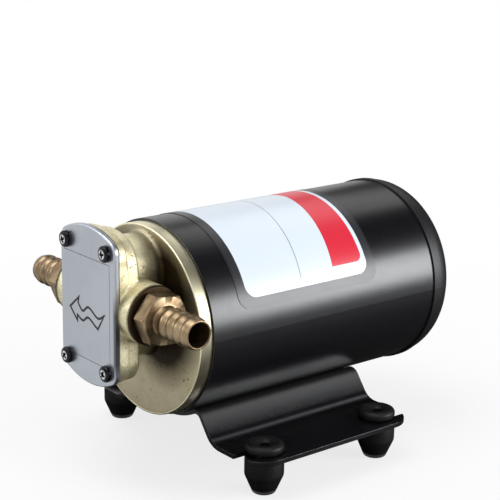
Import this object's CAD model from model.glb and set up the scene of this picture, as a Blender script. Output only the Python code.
from math import asin, atan2, cos, degrees, pi, radians, sin, sqrt

import bmesh
import bpy
import numpy as np
from mathutils import Matrix, Vector


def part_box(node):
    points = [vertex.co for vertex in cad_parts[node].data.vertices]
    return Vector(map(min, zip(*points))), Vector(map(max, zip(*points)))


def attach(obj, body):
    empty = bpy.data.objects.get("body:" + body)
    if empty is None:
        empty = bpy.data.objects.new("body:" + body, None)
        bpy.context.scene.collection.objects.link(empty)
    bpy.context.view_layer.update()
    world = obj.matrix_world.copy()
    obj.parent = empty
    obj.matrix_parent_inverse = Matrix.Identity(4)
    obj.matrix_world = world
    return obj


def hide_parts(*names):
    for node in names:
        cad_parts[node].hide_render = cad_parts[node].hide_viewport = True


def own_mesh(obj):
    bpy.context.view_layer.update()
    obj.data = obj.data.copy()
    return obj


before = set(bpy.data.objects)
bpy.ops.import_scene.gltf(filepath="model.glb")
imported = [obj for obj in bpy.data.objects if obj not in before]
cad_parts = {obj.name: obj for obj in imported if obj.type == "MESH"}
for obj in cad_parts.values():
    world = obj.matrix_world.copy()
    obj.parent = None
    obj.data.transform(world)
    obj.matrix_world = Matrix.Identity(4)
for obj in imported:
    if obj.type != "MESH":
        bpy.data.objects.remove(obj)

print("frame: loaded")

# Meshes are drawn in millimetres and scaled once, before they become objects
mm = 0.001
cutPast = 1.0  # how far a cutter reaches past the surface it cuts
scene = bpy.context.scene
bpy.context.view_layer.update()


def boxOf(node):  # lowest and highest corner of a CAD node, in mm
    low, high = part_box(node)
    return low / mm, high / mm


plateLow, plateHigh = boxOf("cover_plate")
tubeLow, tubeHigh = boxOf("motor_tube")
bodyLow = boxOf("pump_body")[0]
motorZ = (tubeLow.z + tubeHigh.z) / 2
motorR = (tubeHigh.x - tubeLow.x) / 2
pumpZ = (plateLow.z + plateHigh.z) / 2


# Shader maths

class Wire:  # one output socket, so that shader sums read as sums
    def __init__(self, nodes, socket):
        self.nodes = nodes
        self.socket = socket

    def other(self, output):  # another output of the same node
        return Wire(self.nodes, self.socket.node.outputs[output])

    def maths(self, operation, *values, **settings):
        return self.nodes.node("Math", dict(enumerate(values)), operation=operation, **settings)

    def __add__(self, value):
        return self.maths("ADD", self, value)

    def __sub__(self, value):
        return self.maths("SUBTRACT", self, value)

    def __rsub__(self, value):
        return self.maths("SUBTRACT", value, self)

    def __mul__(self, value):
        return self.maths("MULTIPLY", self, value)

    def __pow__(self, value):
        return self.maths("POWER", self, value)

    def __abs__(self):
        return self.maths("ABSOLUTE", self)

    __radd__ = __add__

    def most(self, value):
        return self.maths("MAXIMUM", self, value)

    def least(self, value):
        return self.maths("MINIMUM", self, value)

    def below(self, limit, blur):  # 1 under the limit, 0 above it, with a soft edge
        return self.maths("MULTIPLY_ADD", self, -1 / blur, limit / blur + 0.5, use_clamp=True)


class Nodes:  # a node tree, written as calls and sums
    def __init__(self, tree):
        self.tree = tree

    def node(self, kind, inputs=None, output=0, **settings):
        made = self.tree.nodes.new("ShaderNode" + kind)
        for key, value in settings.items():
            setattr(made, key, value)
        for key, value in (inputs or {}).items():
            self.join(value, made.inputs[key])
        return Wire(self, made.outputs[output])

    def join(self, value, socket):
        if isinstance(value, Wire):
            self.tree.links.new(value.socket, socket)
        else:
            socket.default_value = value

    def rays(self):  # 1 for camera, glossy and transmission rays
        path = self.node("LightPath")
        seen = path.other("Is Camera Ray").most(path.other("Is Glossy Ray"))
        return seen.most(path.other("Is Transmission Ray"))


class Finish(Nodes):  # one material
    def __init__(self, name, **constants):
        self.material = bpy.data.materials.new(name)
        self.material.use_nodes = True
        super().__init__(self.material.node_tree)
        self.surface = self.tree.nodes["Principled BSDF"]
        self.feed(**constants)

    def feed(self, **inputs):  # values or links to sockets of the surface shader
        for socket, value in inputs.items():
            self.join(value, self.surface.inputs[socket.replace("_", " ")])

    def place(self, stretch=(1, 1, 1)):  # position on the object in mm, stretched
        spot = self.node("TexCoord", output="Object")
        return self.node("Mapping", {0: spot, "Scale": [s / mm for s in stretch]})

    def axes(self):  # the same position as x, y and z
        spot = self.node("SeparateXYZ", {0: self.place()})
        return [spot.other(k) for k in range(3)]

    def noise(self, scale, detail=3, rough=0.55, stretch=(1, 1, 1)):
        inputs = dict(Vector=self.place(stretch), Scale=scale, Detail=detail, Roughness=rough)
        return self.node("TexNoise", inputs)

    def ramp(self, value, low, high):  # 0 up to low and 1 from high on
        return self.node("MapRange", {0: value, 1: low, 2: high})

    def mix(self, share, first, second):  # of two colours
        return self.node("Mix", {0: share, 6: first, 7: second}, 2, data_type="RGBA")

    def bump(self, height, depth, under=None):
        inputs = dict(Height=height, Distance=depth * mm)
        if under is not None:
            inputs["Normal"] = under
        return self.node("Bump", inputs)


def tone(red, green, blue):
    return (red, green, blue, 1)


# Finishes

def spotted(finish, look, shade, grain):  # two colours by the shade, gloss and bumps by the grain
    share = finish.ramp(shade, *look["ramp"])
    finish.feed(Base_Color=finish.mix(share, look["base"], look["stain"]),
                Roughness=look["rough"] + grain * look["dull"],
                Normal=finish.bump(grain, look["bump"]))
    return finish.material


def plateSteel():
    look = dict(base=tone(0.37, 0.395, 0.435), streak=tone(0.45, 0.48, 0.52), rough=0.32,
                grime=tone(0.05, 0.052, 0.05), grimeX=18.4, edgeX=19.7, grimeZ=-10.0, grimeHalf=15.0,
                grimeBlur=9.0, grimeShare=0.85)
    finish = Finish("plateSteel", Metallic=1.0)
    brushing = finish.noise(0.9, 4, 0.6, (3.2, 1, 0.05))
    clouds = finish.noise(0.035, 2)
    shade = finish.ramp(brushing * 0.55 + clouds * 0.45, 0.36, 0.64)
    # Grime along the right edge, from the middle down
    x, z = finish.axes()[::2]
    grime = finish.ramp(x, look["grimeX"], look["edgeX"]) * look["grimeShare"]
    away = abs(z - pumpZ - look["grimeZ"])
    grime = grime * away.below(look["grimeHalf"], look["grimeBlur"])
    steel = finish.mix(shade, look["base"], look["streak"])
    finish.feed(Base_Color=finish.mix(grime, steel, look["grime"]),
                Roughness=look["rough"] + brushing * 0.1,
                Normal=finish.bump(brushing, 0.004))
    return finish.material


def etchedLine():
    look = dict(base=tone(0.02, 0.021, 0.026), worn=tone(0.05, 0.052, 0.06))
    finish = Finish("etchedLine", Metallic=0.3)
    grain = finish.noise(2.0)
    finish.feed(Base_Color=finish.mix(finish.ramp(grain, 0.5, 0.75), look["base"], look["worn"]),
                Roughness=0.45 + grain * 0.3)
    return finish.material


def darkChrome():
    look = dict(base=tone(0.022, 0.022, 0.025), film=tone(0.008, 0.008, 0.009),
                bare=tone(0.66, 0.67, 0.70), reach=2.7, blur=1.4, ragged=8.0, deep=0.26,
                deepBlur=0.1)
    finish = Finish("darkChrome", Metallic=1.0)
    film = finish.noise(0.8, 3)
    # Bare metal on the crowns of the heads
    x, y, z = finish.axes()
    across = abs(x) - plate["dx"] / 2
    upright = abs(z - pumpZ) - plate["dz"] / 2
    away = across ** 2 + upright ** 2 + (film - 0.5) * look["ragged"]
    worn = away.below(look["reach"] ** 2, look["blur"])
    crown = plateLow.y - screw["washer"] - screw["headH"]
    worn = worn * y.below(crown + look["deep"], look["deepBlur"])
    dark = finish.mix(finish.ramp(film, 0.4, 0.65), look["base"], look["film"])
    finish.feed(Base_Color=finish.mix(worn, dark, look["bare"]),
                Roughness=0.07 + film * 0.12)
    return finish.material


def castAlloy():
    look = dict(pale=tone(0.86, 0.80, 0.56), olive=tone(0.36, 0.31, 0.175),
                pit=tone(0.07, 0.05, 0.025), face=tone(0.50, 0.45, 0.32),
                stain=tone(0.034, 0.023, 0.012), rough=0.42, faceFront=-60.5, faceBack=-57.5,
                stainX=14.5, stainLow=-13.5, stainHigh=6.0, stainNear=16.0, stainFar=28.0,
                ragged=6.0, saddleFront=-66.0, saddleBack=-58.5, saddleShare=0.85,
                bossDark=26.0, bossEnd=27.6, bossRagged=1.2, bossBack=-58.0, bossBlur=2.0)
    finish = Finish("castAlloy", Metallic=1.0)
    clouds = finish.noise(0.07, 3, 0.6)
    grain = finish.noise(1.1, 4, 0.65)
    pits = finish.ramp(finish.noise(0.62, 4, 0.65), 0.62, 0.70)
    shade = finish.ramp(clouds * 0.7 + grain * 0.3, 0.36, 0.66)
    skin = finish.mix(shade, look["pale"], look["olive"])
    # Dark stain on the flange's face beside the column
    x, y, z = finish.axes()
    up = z - pumpZ
    past = (up - look["stainHigh"]).most(0) + (up - look["stainLow"]).least(0)
    away = ((abs(x) - look["stainX"]) ** 2 + past ** 2) ** 0.5 + clouds * look["ragged"]
    stain = 1 - finish.ramp(away, look["stainNear"], look["stainFar"])
    face = finish.mix(stain, finish.mix(shade * 0.5, look["face"], look["olive"]), look["stain"])
    # The skin darkens towards the flange and at the ends of the bosses
    saddle = finish.ramp(y, look["saddleFront"], look["saddleBack"]) * look["saddleShare"]
    boss = finish.ramp(abs(x) + grain * look["bossRagged"], look["bossDark"], look["bossEnd"])
    boss = boss * y.below(look["bossBack"], look["bossBlur"])
    skin = finish.mix(saddle.most(boss), skin, look["stain"])
    skin = finish.mix(finish.ramp(y, look["faceFront"], look["faceBack"]), skin, face)
    swell = finish.bump(clouds, 0.5)
    finish.feed(Base_Color=finish.mix(pits * 0.75, skin, look["pit"]),
                Roughness=look["rough"] + grain * 0.2 + pits * 0.25,
                Normal=finish.bump(grain * 0.7 - pits * 0.8, 0.10, swell))
    return finish.material


def turnedAlloy():  # the machined rim of the flange
    look = dict(base=tone(0.78, 0.73, 0.53), stain=tone(0.48, 0.44, 0.29), ramp=(0.4, 0.7),
                rough=0.30, dull=0.12, bump=0.01)
    finish = Finish("turnedAlloy", Metallic=1.0)
    lines = finish.noise(1.0, 3, 0.6, (0.02, 6, 0.02))
    return spotted(finish, look, finish.noise(0.05, 2), lines)


def barbBrass():
    look = dict(base=tone(0.35, 0.26, 0.155), stain=tone(0.10, 0.062, 0.033), ramp=(0.40, 0.66),
                rough=0.29, dull=0.16, bump=0.012)
    finish = Finish("barbBrass", Metallic=1.0)
    lines = finish.noise(1.0, 3, 0.6, (5, 0.15, 0.15))
    clouds = finish.noise(0.16, 3)
    return spotted(finish, look, clouds * 0.6 + lines * 0.4, lines)


def threadSealant():
    look = dict(base=tone(0.05, 0.032, 0.018), stain=tone(0.24, 0.17, 0.09), ramp=(0.5, 0.7),
                rough=0.55, dull=0.3, bump=0.25)
    finish = Finish("threadSealant", Metallic=0.2)
    crumbs = finish.noise(1.6, 4)
    return spotted(finish, look, crumbs, crumbs)


def glossBlack(name, base, rough, specular, peel):
    look = dict(base=base, stain=[c * 1.3 for c in base], ramp=(0.45, 0.8), rough=rough,
                dull=0.06, bump=peel)
    finish = Finish(name, Specular_IOR_Level=specular)
    wave = finish.noise(0.35, 2)
    return spotted(finish, look, finish.noise(2.2, 2), wave)


def bracketPaint():  # glossy on the ledges, duller up the slopes
    look = dict(base=tone(0.003, 0.003, 0.004), dust=tone(0.010, 0.010, 0.012),
                rough=0.20, duller=0.24, low=21.0, high=27.0)
    finish = Finish("bracketPaint", Specular_IOR_Level=0.8)
    wave = finish.noise(0.35, 2)
    dust = finish.noise(2.2, 2)
    slope = finish.ramp(finish.axes()[2], look["low"], look["high"])
    finish.feed(Base_Color=finish.mix(finish.ramp(dust, 0.5, 0.8), look["base"], look["dust"]),
                Roughness=look["rough"] + slope * look["duller"] + wave * 0.06,
                Normal=finish.bump(wave, 0.012))
    return finish.material


def blackRubber():
    look = dict(base=tone(0.003, 0.003, 0.003), stain=tone(0.010, 0.010, 0.010),
                ramp=(0.5, 0.8), rough=0.42, dull=0.2, bump=0.05)
    finish = Finish("blackRubber", Specular_IOR_Level=0.28)
    grain = finish.noise(1.3, 4, 0.6)
    return spotted(finish, look, grain, grain)


def brownPaper():
    look = dict(base=tone(0.09, 0.06, 0.045), stain=tone(0.18, 0.13, 0.10), ramp=(0, 1),
                rough=0.7, dull=0.2, bump=0.03)
    finish = Finish("brownPaper")
    fibres = finish.noise(1.5, 4)
    return spotted(finish, look, fibres, fibres)


def plainMetal(name, base, stain, rough):  # for the pieces inside and the fasteners
    look = dict(base=base, stain=stain, ramp=(0.4, 0.7), rough=rough, dull=0.15, bump=0.01)
    finish = Finish(name, Metallic=1.0)
    clouds = finish.noise(0.25, 3)
    return spotted(finish, look, clouds, finish.noise(1.6, 3))


def plainMatt(name, base, stain, rough):  # for magnets, carbon and board
    look = dict(base=base, stain=stain, ramp=(0.35, 0.7), rough=rough, dull=0.15, bump=0.04)
    finish = Finish(name)
    clouds = finish.noise(0.5, 4)
    return spotted(finish, look, clouds, clouds)


film = dict(corner=6.0, rows=120, columns=48, thick=0.17, outer=0.2, under=0.02)
filmLow, filmHigh = boxOf("label")


def filmAngle():  # half of the angle that the label covers
    return pi / 2 - asin((filmLow.z - motorZ) / (motorR + film["under"]))


def printedFilm():
    # White print with a coloured band and thin rules, inside a clear border. Lengths in mm:
    # along the motor, in Y, and round it, from the top.
    look = dict(white=tone(0.68, 0.75, 0.83), red=tone(0.66, 0.022, 0.045),
                black=tone(0.010, 0.010, 0.012), line=tone(0.09, 0.10, 0.12),
                front=-32.2, back=36.1, side=52.0, corner=5.6,
                bandFront=21.2, bandSlant=0.10, bandBack=34.0, bandSide=46.4, bandCorner=3.4,
                bandUnder=9.0, ruleSide=48.6, ruleAt=1.4, ruleSlant=0.07, rule=0.16, edge=0.12,
                seam=0.6, clear=tone(0.024, 0.024, 0.028), brim=0.5, brimLine=0.2,
                creaseAlong=(2, 12), creaseAround=(51, 54))
    finish = Finish("printedFilm", Specular_IOR_Level=0.5)
    x, along, z = finish.axes()
    around = abs(x.maths("ARCTAN2", x, z - motorZ) * motorR)

    def roundedBox(front, back, side, corner):  # distance outside a box with round corners
        across = (abs(along - (front + back) / 2) - ((back - front) / 2 - corner)).most(0)
        down = (around - (side - corner)).most(0)
        return (across ** 2 + down ** 2) ** 0.5 - corner

    edge = look["edge"]
    inside = roundedBox(look["front"], look["back"], look["side"], look["corner"]).below(0, edge)
    band = roundedBox(look["bandFront"] - look["bandUnder"], look["bandBack"], look["bandSide"],
                      look["bandCorner"])
    bandEdge = look["bandFront"] - around * look["bandSlant"] - along
    band = band.most(bandEdge).below(0, edge)
    ruleGap = abs(along - (look["ruleAt"] - around * look["ruleSlant"]))
    rule = ruleGap.below(look["rule"], edge) * around.below(look["ruleSide"], edge)
    seam = abs(bandEdge).below(look["rule"] * look["seam"], edge) * 0.5
    paper = finish.mix(rule.most(seam), look["white"], look["line"])
    paper = finish.mix(band, paper, look["red"])
    side = (motorR + film["outer"]) * filmAngle()
    brim = roundedBox(filmLow.y, filmHigh.y, side, film["corner"]) + look["brim"]
    clear = finish.mix(abs(brim).below(look["brimLine"], edge), look["clear"], look["black"])
    clouds = finish.noise(0.06, 2)
    # Creases at the lower edge, towards the back
    creases = finish.noise(0.28, 4, 0.6) - 0.5
    creases = creases * finish.ramp(along, *look["creaseAlong"])
    creases = creases * finish.ramp(around, *look["creaseAround"])
    finish.feed(Base_Color=finish.mix(inside, clear, paper),
                Roughness=0.30 + clouds * 0.08,
                Normal=finish.bump(creases, 0.25, finish.bump(finish.noise(0.12, 2), 0.02)))
    return finish.material


print("finishes: defined")


# Mesh helpers

def arc(cx, cy, r, start, end, steps):  # points on an arc, angles in degrees
    angles = [radians(start + (end - start) * k / steps) for k in range(steps + 1)]
    return [(cx + r * cos(a), cy + r * sin(a)) for a in angles]


def skinLoops(bm, loops, closed=False):  # joins loops of equal length, into a ring when closed
    rows = [[bm.verts.new(p) for p in loop] for loop in loops]
    count = len(rows[0])
    for low, high in zip(rows, rows[1:] + rows[:1] if closed else rows[1:]):
        for k in range(count):
            n = (k + 1) % count
            bm.faces.new((low[k], low[n], high[n], high[k]))
    if not closed:
        bm.faces.new(rows[0][::-1])
        bm.faces.new(rows[-1])


def turn(bm, rings, place, segments, closed=True):
    # Skins rings of a height and a radius about the Z of place. The radius may be a function of
    # the angle. A hollow profile is closed, a solid one gets flat ends instead.
    angles = [2 * pi * k / segments for k in range(segments)]
    loops = []
    for height, radius in rings:
        reach = [radius(a) if callable(radius) else radius for a in angles]
        loops.append([place @ Vector((r * cos(a), r * sin(a), height))
                      for r, a in zip(reach, angles)])
    skinLoops(bm, loops, closed)


def meshOf(bm, name):
    bmesh.ops.recalc_face_normals(bm, faces=bm.faces)
    bmesh.ops.scale(bm, vec=(mm, mm, mm), verts=bm.verts)
    mesh = bpy.data.meshes.new(name)
    bm.to_mesh(mesh)
    bm.free()
    return mesh


def shadeSmooth(mesh, angle):
    mesh.polygons.foreach_set("use_smooth", [True] * len(mesh.polygons))
    mesh.set_sharp_from_angle(angle=radians(angle))


def addObject(name, data):
    made = bpy.data.objects.new(name, data)
    scene.collection.objects.link(made)
    return made


def addPiece(name, mesh, material, replaces=(), angle=35):  # None keeps the mesh's own
    shadeSmooth(mesh, angle)
    if material:
        mesh.materials.clear()
        mesh.materials.append(material)
    made = addObject(name, mesh)
    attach(made, "housing")
    if replaces:
        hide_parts(*replaces)
    return made


def cut(mesh, cutter, operation="DIFFERENCE"):  # the mesh after a boolean with the cutter
    whole = addObject("whole", mesh)
    tool = addObject("tool", cutter)
    step = whole.modifiers.new("cut", "BOOLEAN")
    step.operation = operation
    step.object = tool
    step.solver = "EXACT"
    step.material_mode = "TRANSFER"
    step.use_self = True
    bpy.context.view_layer.update()
    made = bpy.data.meshes.new_from_object(whole.evaluated_get(
        bpy.context.evaluated_depsgraph_get()))
    for gone in (whole, tool):
        bpy.data.objects.remove(gone)
    return made


def soften(made, width, segments, angle, harden=False):  # rounds the edges sharper than angle
    bevel = made.modifiers.new("edges", "BEVEL")
    bevel.width = width * mm
    bevel.segments = segments
    bevel.limit_method = "ANGLE"
    bevel.angle_limit = radians(angle)
    bevel.harden_normals = harden


def archedLoop(cx, cz, corner, height, inset, steps=8):
    # Outline with round corners about (cx, cz) and arcs over the top and the bottom
    rise = height / 2 - cz
    arch = (cx * cx + rise * rise - corner * corner) / (2 * (rise - corner))
    archZ = height / 2 - arch
    lean = degrees(atan2(cx, cz - archZ))
    top = arc(0, archZ, arch - inset, 90 - lean, 90 + lean, 4 * steps)[1:-1]
    right = arc(cx, cz, corner - inset, 0, 90 - lean, steps)
    left = [(-x, z) for x, z in right[::-1]]
    upper = right + top + left
    lower = [(-x, -z) for x, z in upper]
    return [(x, z + pumpZ) for x, z in upper + lower]


def groove(bm, points, width, front, back, closed):  # bar along a path, with mitred corners
    rows = []
    last = len(points) - 1
    sharpest = 0.35  # keeps the mitre of a sharp corner short
    for k, point in enumerate(points):
        here = Vector(point)
        before = here - Vector(points[k - 1]) if closed or k else Vector(points[1]) - here
        after = Vector(points[k + 1 if k < last else 0]) - here if closed or k < last else before
        before.normalize()
        mitre = (before + after.normalized()).normalized()
        side = Vector((-mitre.y, mitre.x))
        reach = side * (width / 2 / max(sharpest, side.dot(Vector((-before.y, before.x)))))
        inner, outer = here - reach, here + reach
        rows.append([(p.x, y, p.y) for p, y in ((inner, front), (outer, front), (outer, back),
                                                (inner, back))])
    skinLoops(bm, rows, closed)


def between(a, b, c, d, t):  # Catmull-Rom curve from b to c, one coordinate of it
    return b + 0.5 * t * (c - a + t * (2 * a - 5 * b + 4 * c - d + t * (3 * (b - c) + d - a)))


def smoothPath(points, steps=5):  # curve through the points, from the first to the last
    ends = [points[0]] + points + [points[-1]]
    path = []
    for four in zip(ends, ends[1:], ends[2:], ends[3:]):
        for k in range(steps):
            path.append([between(*axis, k / steps) for axis in zip(*four)])
    return path + [points[-1]]


# Cover plate: rounded front edge, engraved frame and flow arrow

plate = dict(dx=29.2, dz=50.8, corner=5.4, round=0.75, backRound=0.2, hole=2.2,
             frameX=16.3, frameLow=-23.6, frameHigh=20.7, frameLine=0.22, frameLeft=-17.4,
             arrowLine=1.05, depth=0.16)
# Flow arrow, x and z in mm: corners of its head, and curves under and over its tail
arrowHead = [(-6.5, 80.1), (-13.2, 74.5), (-7.8, 69.6)]
arrowLower = [(-7.7, 72.1), (-3.6, 70.6), (0.4, 72.9), (5.6, 70.6), (7.6, 69.7)]
arrowUpper = [(12.4, 76.7), (7.6, 74.4), (0.8, 77.4), (-3.7, 74.8), (-7.2, 77.6)]


def screwPlaces(y):  # middles of the four cover screws at this depth
    return [Matrix.Translation((sx * plate["dx"] / 2, y, pumpZ + sz * plate["dz"] / 2))
            for sz in (1, -1) for sx in (-1, 1)]


def coverPlate():
    front, back = plateLow.y, plateHigh.y
    height = plateHigh.z - plateLow.z
    rim = plate["round"]
    loops = [(rim - x, front + rim - y) for x, y in arc(0, 0, rim, 90, 0, 6)]
    loops += [(0, back - plate["backRound"]), (plate["backRound"], back)]
    bm = bmesh.new()
    skinLoops(bm, [[(x, y, z) for x, z in archedLoop(plate["dx"] / 2, plate["dz"] / 2,
                    plate["corner"], height, inset)] for inset, y in loops])
    mesh = meshOf(bm, "coverPlate")
    mesh.materials.append(plateSteel())
    bm = bmesh.new()
    left, right = plate["frameLeft"], plate["frameX"]
    low, high = plate["frameLow"] + pumpZ, plate["frameHigh"] + pumpZ
    deep = front + plate["depth"]
    groove(bm, [(left, low), (right, low), (right, high), (left, high)], plate["frameLine"],
           front - cutPast, deep, False)
    arrow = arrowHead + smoothPath(arrowLower) + smoothPath(arrowUpper)
    groove(bm, arrow, plate["arrowLine"], front - cutPast, deep, True)
    grooves = meshOf(bm, "grooves")
    grooves.materials.append(etchedLine())
    mesh = cut(mesh, grooves)
    bm = bmesh.new()
    for place in screwPlaces(0):
        turn(bm, [(front - cutPast, plate["hole"]), (back + cutPast, plate["hole"])],
             place @ Matrix.Rotation(-pi / 2, 4, "X"), 32, closed=False)
    mesh = cut(mesh, meshOf(bm, "holes"))
    addPiece("cover_plate_face", mesh, None, ["cover_plate"], angle=25)


coverPlate()
print("cover plate: done")


# Cover screws: domed heads with a cross recess

screw = dict(r=2, tip=1.4, tipLength=0.6, length=8.0, washer=0.8, head=3.5, headH=2.0, seat=0.15,
             crown=0.45, edge=0.9, cross=4.5, crossW=1.45, crossEnd=0.6, crossDepth=1.3,
             crossTop=0.5, soft=0.07, turns=(28, 8, 52, 70))
crownSteps = [(0.24, 0.52), (0.08, 0.34), (0, 0.15)]  # mm under the top, share of the radius


def coverScrews():
    s = screw
    top, head, edge = s["headH"], s["head"], s["edge"]
    profile = [(-s["length"], s["tip"]), (-s["length"] + s["tipLength"], s["r"]), (0, s["r"]),
               (0, head - s["seat"]), (s["seat"], head)]
    profile += [(y, x) for x, y in arc(head - edge, top - s["crown"] - edge, edge, 0, 62, 6)]
    profile += [(top - drop, head * share) for drop, share in crownSteps]
    levels = [(top - s["crossDepth"], s["crossEnd"], s["crossW"] / 4),
              (top + s["crossTop"], s["cross"] / 2, s["crossW"] / 2)]
    bm = bmesh.new()
    tools = bmesh.new()
    for place, angle in zip(screwPlaces(plateLow.y - s["washer"]), s["turns"]):
        place = place @ Matrix.Rotation(pi / 2, 4, "X") @ Matrix.Rotation(radians(angle), 4, "Z")
        turn(bm, profile, place, 48, closed=False)
        for k in (0, 1):
            spin = place @ Matrix.Rotation(k * pi / 2, 4, "Z")
            skinLoops(tools, [[spin @ Vector((sx * across, sy * thin, z))
                               for sx, sy in ((-1, -1), (1, -1), (1, 1), (-1, 1))]
                              for z, across, thin in levels])
    mesh = meshOf(bm, "screws")
    mesh.materials.append(darkChrome())
    mesh = cut(mesh, meshOf(tools, "crosses"))
    made = addPiece("cover_screw_set", mesh, None, ["cover_screws"], angle=30)
    soften(made, s["soft"], 2, 40)


coverScrews()
print("cover screws: done")


# Pump body: a casting, described by distances in mm and skinned on a grid

casting = dict(earCx=14.6, earCorner=5.4, earInset=1.0, earDepth=5.4, earHalf=33.1, earArch=38.35,
               earRound=0.8, lobeCx=10.0, lobeCorner=9.0, lobeHalf=31.5, lobeArch=32.0,
               lobeBack=-70.6, lobeRound=2.6, lobeFillet=1.6, column=14.6, columnTop=12.45,
               columnLow=-11.25, columnIn=5.0, columnFillet=2.2, boss=12.6, bossReach=28.0,
               bossRound=0.7, bossFillet=1.1, portY=-70.2, port=4.5, portIn=5.6, thread=8.32,
               threadIn=19.3, flangeFront=-56.8, flangeR=41.0, flangeBack=-55.4, flangeFillet=1.6,
               gearZ=11.25, gearR=12.83, gearBack=-70.04, bushing=6.02, seal=9.02, sealIn=10.0,
               grid=0.5, lowRoom=(1.3, 1.1, 1.2), highRoom=(1.2, 1.0), top=36.0)


def roundMin(a, b, r):  # union of two distances, with a fillet
    return np.maximum(np.minimum(a, b), r) - np.hypot(np.maximum(r - a, 0), np.maximum(r - b, 0))


def roundMax(a, b, r):  # overlap of two distances, with a rounded edge
    return np.minimum(np.maximum(a, b), -r) + np.hypot(np.maximum(a + r, 0), np.maximum(b + r, 0))


def drill(solid, inside, end):  # takes a bore out of a solid, all as distances
    return np.maximum(solid, -np.maximum(inside, end))


def archedField(x, z, cx, corner, half, arch):  # distance to an outline like the plate's
    arches = np.maximum(np.hypot(x, z - half + arch), np.hypot(x, z + half - arch)) - arch
    return roundMax(np.abs(x) - cx - corner, arches, corner)


def castingField(x, y, z):
    c = casting
    z = z - pumpZ
    front = bodyLow.y
    # Ear plate in front, and the deeper lower half behind it
    outline = archedField(x, z, c["earCx"] - c["earInset"], c["earCorner"], c["earHalf"],
                          c["earArch"])
    half = c["earDepth"] / 2
    ear = roundMax(outline, np.abs(y - front - half) - half, c["earRound"])
    lobe = archedField(x, z, c["lobeCx"], c["lobeCorner"], c["lobeHalf"], c["lobeArch"])
    lobe = np.minimum(lobe, np.maximum(outline, z))
    lobe = roundMax(lobe, np.maximum(front - y, y - c["lobeBack"]), c["lobeRound"])
    solid = roundMin(ear, lobe, c["lobeFillet"])
    # Column back to the motor flange, and the two port bosses
    column = np.hypot(x, z - np.clip(z, c["columnLow"], c["columnTop"])) - c["column"]
    column = np.maximum(column, np.maximum(front + c["columnIn"] - y, y - c["flangeBack"]))
    flange = np.hypot(x, z + c["gearZ"]) - c["flangeR"]
    flange = np.maximum(flange, np.maximum(c["flangeFront"] - y, y - c["flangeBack"]))
    solid = roundMin(solid, column, c["columnFillet"])
    port = np.hypot(y - c["portY"], z)
    boss = roundMax(port - c["boss"], np.abs(x) - c["bossReach"], c["bossRound"])
    solid = roundMin(solid, boss, c["bossFillet"])
    solid = roundMin(solid, flange, c["flangeFillet"])
    # Flat front face, gear chambers, shaft bore and ports
    solid = np.maximum(solid, front - y)
    for side in (-1, 1):
        gear = np.hypot(x, z - side * c["gearZ"]) - c["gearR"]
        solid = drill(solid, gear, y - c["gearBack"])
    shaft = np.hypot(x, z + c["gearZ"])
    solid = np.maximum(solid, c["bushing"] - shaft)
    solid = drill(solid, shaft - c["seal"], c["gearBack"] + c["sealIn"] - y)
    solid = drill(solid, port - c["port"], c["portIn"] - np.abs(x))
    return drill(solid, port - c["thread"], c["threadIn"] - np.abs(x))


def skinField(field, low, high, step):  # surface nets: vertices and quads of a field's zero
    axes = [np.arange(low[k], high[k] + step, step) for k in range(3)]
    value = field(*np.meshgrid(*axes, indexing="ij", sparse=True)).astype(np.float32)
    inside = value < 0
    shape = [n - 1 for n in value.shape]
    count = np.zeros(shape, np.int8)
    corners = [(i, j, k) for i in (0, 1) for j in (0, 1) for k in (0, 1)]
    for i, j, k in corners:
        count += inside[i:i + shape[0], j:j + shape[1], k:k + shape[2]]
    # Cells that the surface passes through
    cells = np.argwhere((count > 0) & (count < len(corners)))
    number = np.full(shape, -1, np.int64)
    number[tuple(cells.T)] = np.arange(len(cells))
    # A vertex in each, at the mean of the crossings on its edges
    total = np.zeros((len(cells), 3))
    hits = np.zeros(len(cells))
    for a in corners:
        for axis in range(3):
            if a[axis]:
                continue
            b = tuple(v + (n == axis) for n, v in enumerate(a))
            va = value[tuple((cells + a).T)]
            vb = value[tuple((cells + b).T)]
            crossed = (va < 0) != (vb < 0)
            share = np.where(crossed, va / np.where(crossed, va - vb, 1), 0)
            point = np.array(a) + share[:, None] * (np.array(b) - np.array(a))
            total += point * crossed[:, None]
            hits += crossed
    verts = np.array(low) + (cells + total / hits[:, None]) * step
    # A quad round every grid edge that crosses the surface
    quads = []
    for axis in range(3):
        one, two = [n for n in range(3) if n != axis]
        ahead = np.eye(3, dtype=int)[axis]
        starts = np.argwhere(inside != np.roll(inside, -1, axis))
        keep = (starts[:, axis] < value.shape[axis] - 1) & (starts[:, one] > 0) & (starts[:, two] > 0)
        starts = starts[keep & (starts < np.array(shape)).all(1)]
        stepOne, stepTwo = np.eye(3, dtype=int)[one], np.eye(3, dtype=int)[two]
        ring = [starts - stepOne - stepTwo, starts - stepTwo, starts, starts - stepOne]
        faces = np.stack([number[tuple(r.T)] for r in ring], 1)
        flip = inside[tuple((starts + ahead).T)] ^ (axis == 1)
        faces[flip] = faces[flip][:, ::-1]
        quads.append(faces)
    return verts, np.concatenate(quads)


def settle(field, points, rounds=3):  # moves points onto the field's zero
    small, reach, flattest = 0.01, 0.2, 0.25
    for _ in range(rounds):
        x, y, z = points.T
        here = field(x, y, z)
        slope = np.stack([field(x + small, y, z) - here, field(x, y + small, z) - here,
                          field(x, y, z + small) - here], 1) / small
        length = np.maximum((slope ** 2).sum(1), flattest)
        points = points - np.clip(here / length, -reach, reach)[:, None] * slope
    return points


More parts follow.
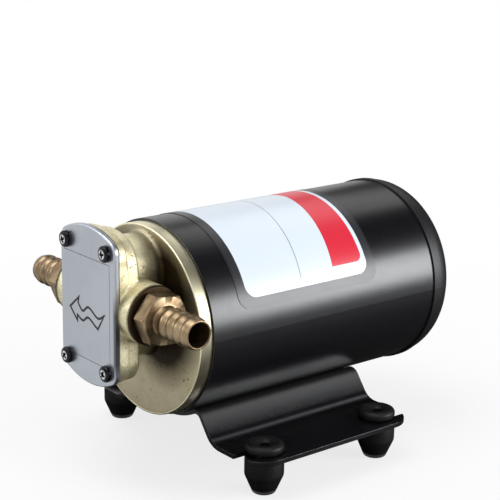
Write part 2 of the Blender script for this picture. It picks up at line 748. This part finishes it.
def pumpBody():
    c = casting
    room, over = c["lowRoom"], c["highRoom"]  # the grid ends in the air round the casting
    low = (-c["flangeR"] - room[0], bodyLow.y - room[1], motorZ - c["flangeR"] - room[2])
    high = (c["flangeR"] + over[0], c["flangeBack"] + over[1], pumpZ + c["top"])
    verts, quads = skinField(castingField, low, high, c["grid"])
    verts = settle(castingField, verts)
    mesh = bpy.data.meshes.new("casting")
    mesh.from_pydata(verts * mm, [], quads.tolist())
    mesh.validate()
    addPiece("pump_casting", mesh, castAlloy(), ["pump_body"], angle=50)


pumpBody()
print("casting: done")


# Flange rim and spigot, turned in one setting

flange = dict(inset=1.0, front=-57.0, back=-51.0, spigotBack=-46.0, spigotIn=3.02, lip=40.6,
              face=0.3, edge=0.5, backEdge=0.25, spigotEdge=0.4, bore=9.1)
lipSteps = [(0.3, -0.4), (0.3, 0), (0.05, 0.12), (0, 0.3)]  # mm behind the front, past the lip


def flangeRim():
    f = flange
    r, spigot = motorR - f["inset"], motorR - f["spigotIn"]
    edge, backEdge, spigotEdge = f["edge"], f["backEdge"], f["spigotEdge"]
    profile = [(f["front"] + f["face"], f["bore"])]
    profile += [(f["front"] + behind, f["lip"] + past) for behind, past in lipSteps]
    profile += [(y, x) for x, y in arc(r - edge, f["front"] + edge, edge, -90, 0, 5)]
    profile += [(f["back"] - backEdge, r), (f["back"], r - backEdge), (f["back"], spigot),
                (f["spigotBack"] - spigotEdge, spigot), (f["spigotBack"], spigot - spigotEdge),
                (f["spigotBack"], f["bore"])]
    bm = bmesh.new()
    place = Matrix.Translation((0, 0, motorZ)) @ Matrix.Rotation(-pi / 2, 4, "X")
    turn(bm, profile, place, 192)
    addPiece("flange_rim", meshOf(bm, "flangeRim"), turnedAlloy(), ["pump_body"])


flangeRim()
print("flange: done")


# Hose barbs: thread in the boss, sealant, hexagon and ribbed stem

barb = dict(inner=19.6, boss=28.0, hexStart=28.6, hexEnd=35.6, af=20.0, chamfer=1.5, turn=-8,
            stem=6.0, crest=6.7, neck=3.0, tip=57.5, ribs=4, bore=5.15, thread=8.3, tipRound=0.35,
            threadLead=0.5, slope=0.55, sealant=9.0, sealantWave=0.35)
rootSteps = [(0.02, 1.3), (0.25, 0.55), (0.9, 0.1), (2.7, 0)]  # mm past the hexagon, over the stem
ribShares = [(0, 0.04), (0.08, 0.28), (0.16, 0.7), (0.24, 0.94), (0.33, 1), (0.48, 0.86),
             (0.68, 0.45), (0.86, 0.1)]  # along one rib, and up it


def hexRadius(limit):  # radius of a hexagon by the angle, under a cone
    def radius(angle):
        across = (angle + pi / 6) % (pi / 3) - pi / 6
        return min(limit, barb["af"] / 2 / cos(across))
    return radius


def hoseBarb(side, name, node):
    b = barb
    place = (Matrix.Translation((0, casting["portY"], pumpZ))
             @ Matrix.Rotation(side * pi / 2, 4, "Y")
             @ Matrix.Rotation(radians(side * b["turn"]), 4, "Z"))
    # Thread, and hexagon with chamfered corners
    corner = b["af"] / sqrt(3)
    lead, slope = b["threadLead"], b["slope"]
    rings = [(b["inner"], b["bore"]), (b["inner"], b["thread"] - lead),
             (b["inner"] + lead, b["thread"]), (b["hexStart"], b["thread"])]
    cone = [k / 6 * b["chamfer"] for k in range(7)]
    rings += [(b["hexStart"] + t * slope, hexRadius(corner - b["chamfer"] + t)) for t in cone]
    rings += [(b["hexEnd"] - t * slope, hexRadius(corner - b["chamfer"] + t)) for t in cone[::-1]]
    rings += [(b["hexEnd"] + past, b["stem"] + over) for past, over in rootSteps]
    # Ribs and a round tip
    pitch = (b["tip"] - b["hexEnd"] - b["neck"]) / b["ribs"]
    rise = b["crest"] - b["stem"]
    for k in range(b["ribs"]):
        start = b["hexEnd"] + b["neck"] + k * pitch
        rings += [(start + share * pitch, b["stem"] + rise * height) for share, height in ribShares]
    outer, inner = b["tipRound"], b["tipRound"] * 0.7
    rings += [(h, r) for r, h in arc(b["stem"] - outer, b["tip"] - outer, outer, 0, 90, 4)]
    rings += [(h, r) for r, h in arc(b["bore"] + inner, b["tip"] - inner, inner, 90, 180, 3)]
    bm = bmesh.new()
    turn(bm, rings, place, 144)
    addPiece(name, meshOf(bm, name), barbBrass(), [node], angle=32)
    # Sealant squeezed out between the boss and the hexagon
    bm = bmesh.new()
    under, wave = b["thread"] + 0.05, b["sealantWave"]
    ring = [(b["boss"] - 0.25, under),
            (b["boss"] - 0.1, lambda a: b["sealant"] + wave * sin(5 * a) * sin(3 * a + 1)),
            (b["hexStart"] - 0.1, lambda a: b["sealant"] + wave * sin(4 * a + 2) * sin(7 * a)),
            (b["hexStart"] + 0.02, under)]
    turn(bm, ring, place, 96)
    addPiece(name + "_sealant", meshOf(bm, "sealant"), threadSealant())


hoseBarb(1, "right_barb", "inlet_barb")
hoseBarb(-1, "left_barb", "outlet_barb")
print("barbs: done")


# Label film: a thin shell on the tube with round corners

def labelFilm():
    outer = motorR + film["outer"]
    half = filmAngle() * outer
    corner = film["corner"]
    # Rows round the tube, close together where the film's corners bend
    bends = [half - corner * (1 - cos(radians(15 * k))) for k in range(7)]
    middle = half - corner
    steps = film["rows"] // 2
    ups = [middle * k / steps for k in range(steps)] + bends[::-1]
    rows = [-s for s in ups[:0:-1]] + ups
    loops = []
    for r in (outer, outer - film["thick"]):
        grid = []
        for s in rows:
            over = max(0, abs(s) - middle)
            pull = corner - sqrt(max(0, corner ** 2 - over ** 2))
            angle = s / outer
            front, back = filmLow.y + pull, filmHigh.y - pull
            grid.append([(r * sin(angle), front + (back - front) * k / film["columns"],
                          motorZ + r * cos(angle)) for k in range(film["columns"] + 1)])
        loops.append(grid)
    bm = bmesh.new()
    made = [[[bm.verts.new(p) for p in row] for row in grid] for grid in loops]
    for grid in made:
        for upper, lower in zip(grid, grid[1:]):
            for k in range(film["columns"]):
                bm.faces.new((upper[k], upper[k + 1], lower[k + 1], lower[k]))

    def rim(grid):
        return (grid[0] + [row[-1] for row in grid[1:]] + grid[-1][-2::-1]
                + [row[0] for row in grid[-2:0:-1]])

    top, under = rim(made[0]), rim(made[1])
    for k in range(len(top)):
        n = (k + 1) % len(top)
        bm.faces.new((top[k], top[n], under[n], under[k]))
    addPiece("label_film", meshOf(bm, "labelFilm"), printedFilm(), ["label"])


labelFilm()
print("label: done")


# Bracket: one bent sheet with rounded ledges and open slots for the feet

bracket = dict(sheet=2.0, hug=28, crown=3.2, slope=52, toe=8.5, ledge=18.2, corner=11.5,
               gap=0.02, footX=105.5, footY=64.0, slot=4.5, edge=0.3, screwY=52.0, screwHole=2.7,
               cutLow=-5.0, cutHigh=30.0, cutOut=5.0)


def bracketOutline():  # the bent section in X and Z, right half then left
    b = bracket
    t, hug, slope = b["sheet"], b["hug"], b["slope"]
    reach = boxOf("bracket")[1].x
    # The sheet hugs the tube, bends out over the crown and flattens at the toe
    saddle = motorR + b["gap"]
    far = saddle + t + b["crown"]
    crownX = far * sin(radians(hug))
    crownZ = motorZ - far * cos(radians(hug))
    toeZ = b["ledge"] + b["toe"]
    bends = b["crown"] + t + b["toe"]
    run, fall = cos(radians(slope)), sin(radians(slope))
    leg = (crownZ - toeZ + bends * run) / fall
    toeX = crownX + leg * run + bends * fall
    upper = arc(0, motorZ, saddle, -90, -90 + hug, 16)
    upper += arc(crownX, crownZ, b["crown"] + t, 90 + hug, 90 - slope, 12)
    upper += arc(toeX, toeZ, b["toe"], -90 - slope, -90, 10)
    upper += [(reach, b["ledge"])]
    lower = [(reach, b["ledge"] - t)]
    lower += arc(toeX, toeZ, b["toe"] + t, -90, -90 - slope, 10)
    lower += arc(crownX, crownZ, b["crown"], 90 - slope, 90 + hug, 12)
    lower += arc(0, motorZ, saddle + t, -90 + hug, -90, 16)
    left = [(-x, z) for x, z in upper[:0:-1]]
    leftLower = [(-x, z) for x, z in lower[:-1][::-1]]
    return upper + lower + leftLower + left


def bentSheet():
    b = bracket
    low, high = boxOf("bracket")
    bm = bmesh.new()
    skinLoops(bm, [[(x, y, z) for x, z in bracketOutline()] for y in (low.y, high.y)])
    mesh = meshOf(bm, "sheet")
    # Round corners, as seen from above
    bm = bmesh.new()
    plan = []
    cornerX, cornerY = high.x - b["corner"], high.y - b["corner"]
    for k, (sx, sy) in enumerate(((1, 1), (-1, 1), (-1, -1), (1, -1))):
        plan += arc(sx * cornerX, sy * cornerY, b["corner"], 90 * k, 90 * k + 90, 10)
    skinLoops(bm, [[(x, y, z) for x, y in plan] for z in (b["cutLow"], motorZ)])
    mesh = cut(mesh, meshOf(bm, "plan"), "INTERSECT")
    # Open slots for the feet, and two screw holes
    bm = bmesh.new()
    for sx in (-1, 1):
        for sy in (-1, 1):
            x, y, r = sx * b["footX"] / 2, sy * b["footY"] / 2, b["slot"]
            out = sy * (high.y + b["cutOut"])
            slot = [(x + px, y + sy * py) for px, py in arc(0, 0, r, 180, 360, 16)]
            slot += [(x + r, out), (x - r, out)]
            skinLoops(bm, [[(px, py, z) for px, py in slot] for z in (b["cutLow"], b["cutHigh"])])
    for s in (-1, 1):
        turn(bm, [(0, b["screwHole"]), (motorZ - motorR + cutPast, b["screwHole"])],
             Matrix.Translation((0, s * b["screwY"] / 2, 0)), 32, closed=False)
    mesh = cut(mesh, meshOf(bm, "slots"))
    made = addPiece("bent_bracket", mesh, bracketPaint(), ["bracket"], angle=30)
    soften(made, b["edge"], 3, 50, harden=True)


bentSheet()
print("bracket: done")


# Rubber feet: ring above the ledge, neck in the slot, body and cone below

foot = dict(ring=8.25, ringTop=22.4, ringRound=1.7, neck=4.3, body=8.4, cone=8.3, tip=5.3,
            tipRound=1.2, hole=2.6, holeEdge=0.35, shoulder=1.0, gap=0.02)
coneSteps = [(-0.9, 0.34), (-0.2, 0.08), (0.7, 0)]  # mm over the cone's end, in from the body
dishSteps = [(0.12, 2.6), (0.7, 0.9), (1.5, 0)]  # mm under the ring's top, out from the hole
rubber = blackRubber()


def rubberFoot(name):
    f = foot
    low, high = boxOf(name)
    place = Matrix.Translation(((low.x + high.x) / 2, (low.y + high.y) / 2, 0))
    under = bracket["ledge"] - bracket["sheet"] - f["gap"]
    above = bracket["ledge"] + f["gap"]
    tip, shoulder, ring = f["tipRound"], f["shoulder"], f["ringRound"]
    bends = arc(f["tip"] - tip, tip, tip, -90, -20, 5)
    bends += [(f["body"] - inset, f["cone"] + over) for over, inset in coneSteps]
    bends += arc(f["body"] - shoulder, under - shoulder, shoulder, 0, 90, 5)
    bends += [(f["neck"], under), (f["neck"], above)]
    bends += arc(f["ring"] - ring, above + ring, ring, -90, 0, 6)
    bends += arc(f["ring"] - ring, f["ringTop"] - ring, ring, 0, 90, 8)
    bends += [(f["hole"] + out, f["ringTop"] - drop) for drop, out in dishSteps]
    bends += [(f["hole"], f["holeEdge"]), (f["hole"] + f["holeEdge"], 0)]
    bm = bmesh.new()
    turn(bm, [(h, r) for r, h in bends], place, 72)
    addPiece(name + "_rubber", meshOf(bm, name), rubber, [name], angle=40)


for node in ("front_right_foot", "front_left_foot", "rear_right_foot", "rear_left_foot"):
    rubberFoot(node)
print("feet: done")


# Brush springs: folded strips that close up as their brushes move out

spring = dict(sheet=0.4, folds=6, gap=0.1, keep=0.5)
zincSteel = plainMetal("zincSteel", tone(0.62, 0.63, 0.65), tone(0.42, 0.43, 0.44), 0.28)


def brushSpring(node):
    low, high = boxOf(node)
    sheet = spring["sheet"]
    bend = (high.z - low.z - sheet) / spring["folds"] / 2
    reach = (high.x - low.x - sheet) / 2 - bend
    # Folds from side to side, from the bottom up
    path = [(-reach - bend, low.z + sheet / 2)]
    for fold in range(spring["folds"]):
        s = 1 if fold % 2 == 0 else -1
        level = low.z + sheet / 2 + (2 * fold + 1) * bend
        path += [(s * x, z) for x, z in arc(reach, level, bend, -90, 90, 8)]
    path.append((-path[-1][0] - bend, high.z - sheet / 2))
    bm = bmesh.new()
    groove(bm, path, sheet, low.y, high.y, False)
    made = addPiece(node + "_strip", meshOf(bm, node), zincSteel, [node])
    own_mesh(made)


brushSpring("upper_brush_spring")
brushSpring("lower_brush_spring")
print("brush springs: done")


# CAD nodes that keep their shape and get a finish

def dress(material, *nodes):
    for node in nodes:
        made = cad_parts[node]
        if not made.material_slots:
            made.data.materials.append(material)
        for place in made.material_slots:
            place.material = material


dress(glossBlack("tubePaint", tone(0.003, 0.003, 0.004), 0.27, 0.5, 0.02), "motor_tube")
dress(glossBlack("capPaint", tone(0.006, 0.006, 0.007), 0.44, 0.4, 0.03), "end_cap")
dress(rubber, "lead_grommet", "shaft_seal", "body_o_ring")
dress(brownPaper(), "cover_gasket")
dress(plainMetal("washerSteel", tone(0.07, 0.07, 0.08), tone(0.03, 0.03, 0.035), 0.2), "lock_washers")
dress(zincSteel, "through_bolts", "through_washers", "bracket_screws", "idler_pin", "gear_key",
      "pump_shaft", "motor_shaft")
dress(plainMetal("gearSteel", tone(0.42, 0.43, 0.45), tone(0.26, 0.27, 0.29), 0.3),
      "drive_gear", "driven_gear", "armature_core")
dress(plainMetal("sinteredBronze", tone(0.55, 0.35, 0.15), tone(0.32, 0.19, 0.08), 0.42),
      "pump_bushing", "front_bushing", "rear_bushing")
dress(plainMetal("platedBrass", tone(0.75, 0.60, 0.33), tone(0.52, 0.38, 0.18), 0.25),
      "upper_brush_box", "lower_brush_box")
dress(plainMetal("windingCopper", tone(0.62, 0.28, 0.13), tone(0.34, 0.12, 0.05), 0.3),
      "armature_windings", "commutator")
dress(plainMetal("castAluminium", tone(0.58, 0.59, 0.60), tone(0.40, 0.41, 0.42), 0.4),
      "bearing_plate")
dress(plainMatt("ferrite", tone(0.035, 0.035, 0.038), tone(0.08, 0.08, 0.085), 0.6),
      "right_magnet", "left_magnet")
dress(plainMatt("brushCarbon", tone(0.018, 0.018, 0.02), tone(0.05, 0.05, 0.055), 0.5),
      "upper_brush", "lower_brush")
dress(plainMatt("hardBoard", tone(0.23, 0.11, 0.055), tone(0.38, 0.21, 0.12), 0.55), "brush_plate")
print("CAD nodes: dressed")


# Studio: pale floor, dark cards, soft lamps, white background and the camera

studio = dict(floor=tone(0.90, 0.90, 0.90), floorSize=12.0, world=0.30, backdrop=1.0,
              shadowReach=0.10, whiteFrom=0.36, shadowShare=0.22, card=tone(0.02, 0.02, 0.02),
              target=(0, 0.01, 0.06))


def clothFinish(name, rough, grain, base, shade):
    finish = Finish(name, Roughness=rough)
    cloth = finish.noise(grain, 2)
    finish.feed(Base_Color=finish.mix(cloth, base, [c * shade for c in base]))
    return finish


def stageSheet(name, material, size, segments):  # flat and level, in metres
    bm = bmesh.new()
    bmesh.ops.create_grid(bm, x_segments=segments, y_segments=segments, size=0.5)
    bmesh.ops.scale(bm, vec=(*size, 1), verts=bm.verts)
    mesh = bpy.data.meshes.new(name)
    bm.to_mesh(mesh)
    bm.free()
    mesh.materials.append(material)
    made = addObject(name, mesh)
    return made


def paleFloor():
    finish = clothFinish("paleFloor", 0.9, 0.02, studio["floor"], 0.985)
    seen = finish.rays()
    centre = finish.node("TexCoord", output="Object")
    distance = finish.node("VectorMath", {0: centre}, "Value", operation="LENGTH")
    near = 1 - finish.ramp(distance, studio["shadowReach"], studio["whiteFrom"])
    share = seen * (1 - near * studio["shadowShare"])
    glow = finish.node("Emission", dict(Color=tone(1, 1, 1), Strength=studio["backdrop"]))
    lit = Wire(finish, finish.surface.outputs[0])
    both = finish.node("MixShader", {0: share, 1: lit, 2: glow})
    finish.join(both, finish.tree.nodes["Material Output"].inputs["Surface"])
    stageSheet("floor", finish.material, (studio["floorSize"], studio["floorSize"]), 8)


def darkCard(name, place, turned, size):  # keeps gloss and metal from turning all white
    finish = clothFinish(name, 0.8, 0.05, studio["card"], 0.6)
    made = stageSheet(name, finish.material, size, 4)
    made.location = place
    made.rotation_euler = [radians(angle) for angle in turned]
    made.visible_camera = False
    made.visible_diffuse = False
    made.visible_shadow = False


def whiteWorld():
    scene.world = bpy.data.worlds.new("studio")
    scene.world.use_nodes = True
    nodes = Nodes(scene.world.node_tree)
    background = nodes.tree.nodes["Background"]
    power = nodes.node("MapRange", {0: nodes.rays(), 3: studio["world"], 4: studio["backdrop"]})
    nodes.join(power, background.inputs["Strength"])
    nodes.join(tone(1, 1, 1), background.inputs["Color"])


def lamp(name, place, size, power, colour=(1, 1, 1)):
    light = bpy.data.lights.new(name, "AREA")
    light.shape = "RECTANGLE"
    light.size, light.size_y = size
    light.energy = power
    light.color = colour
    made = addObject(name, light)
    made.location = place
    ray = Vector(studio["target"]) - Vector(place)
    made.rotation_euler = ray.to_track_quat("-Z", "Y").to_euler()


paleFloor()
whiteWorld()
darkCard("floorCard", (0.1, 0.72, 0.002), (0, 0, 0), (2.8, 1.64))
darkCard("backCard", (0.1, 1.55, 0.7), (90, 0, 0), (3.4, 1.5))
darkCard("overCard", (0.1, 0.95, 1.45), (0, 0, 0), (3.4, 1.3))
lamp("sideSoftbox", (0.78, 0.66, 0.235), (0.50, 0.44), 10.0, (0.97, 0.985, 1))
lamp("topSoftbox", (-0.12, -0.30, 1.05), (0.8, 0.6), 6.2)
lamp("rearSoftbox", (-0.28, 0.62, 0.76), (0.5, 0.4), 1.0)
lamp("frontSoftbox", (-0.65, -0.75, 0.48), (0.25, 0.25), 1.5)

# Camera as fitted to the photo: place in mm, angles in degrees, focal length in the frame's pixels
cameraSet = dict(place=(489.985, -397.67, 264.43), azimuth=50.847, elevation=15.618, roll=0.986,
                 focal=1474.55, frame=500, sensor=36.0)


def photoCamera():
    c = cameraSet
    az, el, roll = radians(c["azimuth"]), radians(c["elevation"]), radians(c["roll"])
    back = Vector((sin(az) * cos(el), -cos(az) * cos(el), sin(el)))
    right = Vector((cos(az), sin(az), 0))
    up = back.cross(right)
    turnedRight = right * cos(roll) + up * sin(roll)
    turnedUp = up * cos(roll) - right * sin(roll)
    lens = bpy.data.cameras.new("camera")
    lens.sensor_fit = "HORIZONTAL"
    lens.sensor_width = c["sensor"]
    lens.lens = c["focal"] / c["frame"] * c["sensor"]
    lens.clip_start, lens.clip_end = 0.05, 50
    made = addObject("camera", lens)
    turned = Matrix((turnedRight, turnedUp, back)).transposed().to_4x4()
    made.matrix_world = Matrix.Translation(Vector(c["place"]) * mm) @ turned
    scene.camera = made


photoCamera()
scene.view_settings.view_transform = "Standard"
print("studio: done")
